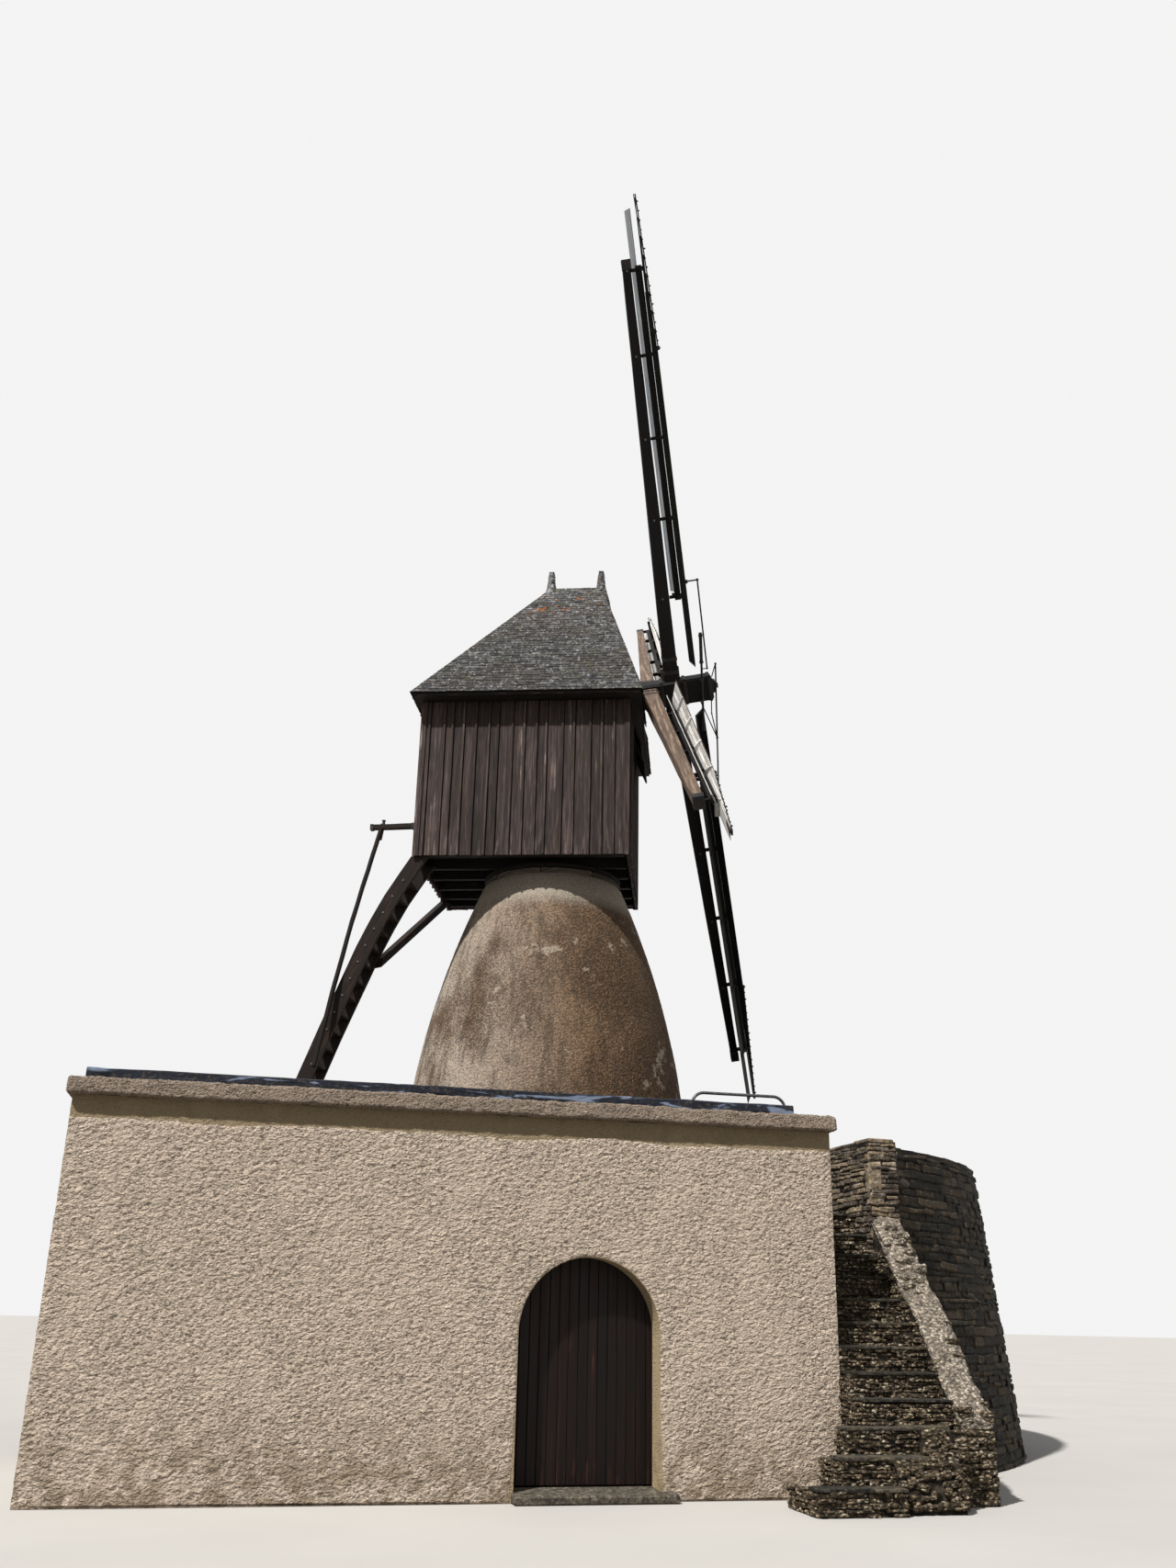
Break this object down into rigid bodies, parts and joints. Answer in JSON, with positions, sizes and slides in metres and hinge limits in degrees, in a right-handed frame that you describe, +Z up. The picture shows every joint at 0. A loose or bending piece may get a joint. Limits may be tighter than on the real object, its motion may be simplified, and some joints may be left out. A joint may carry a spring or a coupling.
{
  "type": "hollow-post windmill",
  "caption": "Windmill with a turning timber cabin and slatted sails on a rendered stone cone, standing on a round walled mound with a front room, arched door and outside stair.",
  "frame": {"origin": "on the ground, on the upright axis of the cone, about which the cabin turns", "axes": "+Z up; +X to the right along the front wall as seen from outside; +Y into the building, so the front wall and its door face -Y; the cabin is stored turned 18.5 degrees clockwise from +X, as in the picture"},
  "size_m": [12.7, 14.3499, 17.2834],
  "materials": {
    "facade_render": "rough sand render",
    "rubble_masonry": "dark schist rubble",
    "fill": "earth and rubble",
    "coping_stone": "rough mortar coping",
    "roof_sheet": "matt dark flashing",
    "slate": "weathered slate",
    "slate_roof": "weathered slate",
    "tube": "dull grey paint",
    "cone_render": "pebbly lime render",
    "door_wood": "dark stained boards",
    "cabin_boards": "dark tarred boards, worn",
    "dark_timber": "dark weathered timber",
    "tan_timber": "weathered brown timber",
    "slat_wood": "grey weathered slats",
    "iron": "dark wrought iron",
    "floor_paving": "worn stone"
  },
  "bodies": {
    "base": {"front_wall_left": "facade_render", "front_wall_right": "facade_render", "front_wall_arch": "facade_render", "left_side_wall": "rubble_masonry", "right_side_wall": "rubble_masonry", "back_wall": "rubble_masonry", "room_floor": "floor_paving", "flat_roof": "roof_sheet", "facade_coping": "coping_stone", "roof_upstand": "roof_sheet", "roof_rail": "tube", "door_sill": "floor_paving", "door_pintles": "iron", "mound_fill": "fill", "round_wall_1": "rubble_masonry", "round_wall_2": "rubble_masonry", "round_wall_3": "rubble_masonry", "round_wall_4": "rubble_masonry", "stair_pier": "rubble_masonry", "stair_steps": "rubble_masonry", "stair_slabs": "slate", "stair_parapet": "rubble_masonry", "tower_cone": "cone_render", "curb_ring": "dark_timber"},
    "door": {"door_leaf": "door_wood"},
    "cabin": {"cabin_near_wall": "cabin_boards", "cabin_far_wall": "cabin_boards", "cabin_front_wall": "cabin_boards", "cabin_rear_wall": "cabin_boards", "rear_door": "cabin_boards", "cabin_floor": "dark_timber", "cabin_frame": "dark_timber", "eaves_boards": "dark_timber", "roof_near_slope": "slate_roof", "roof_far_slope": "slate_roof", "roof_front_hip": "slate_roof", "roof_rear_hip": "slate_roof", "ridge_and_finials": "slate_roof", "front_apron": "dark_timber", "shaft_beams": "dark_timber", "tail_frame": "tan_timber", "tail_treads": "tan_timber", "brake_lever": "dark_timber", "brake_pole": "tan_timber"},
    "sails": {"windshaft": "dark_timber", "stock_outer": "dark_timber", "stock_inner": "tan_timber", "sail_arms": "dark_timber", "sail_planks": "slat_wood", "sail_gear": "iron"}
  },
  "joints": [
    {"name": "door_hinge", "type": "hinge", "parent": "base", "child": "door", "pos_m": [-1.7, -6.47, 1], "axis": [0, 0, 1], "range_deg": [0, 95]},
    {"name": "cabin_turn", "type": "hinge", "parent": "base", "child": "cabin", "pos_m": [0, 0, 7.8], "axis": [0, 0, 1], "continuous": true},
    {"name": "sail_turn", "type": "hinge", "parent": "cabin", "child": "sails", "pos_m": [1.79897, -0.60193, 11.13], "axis": [0.9378, -0.3138, 0.1487], "continuous": true}
  ]
}
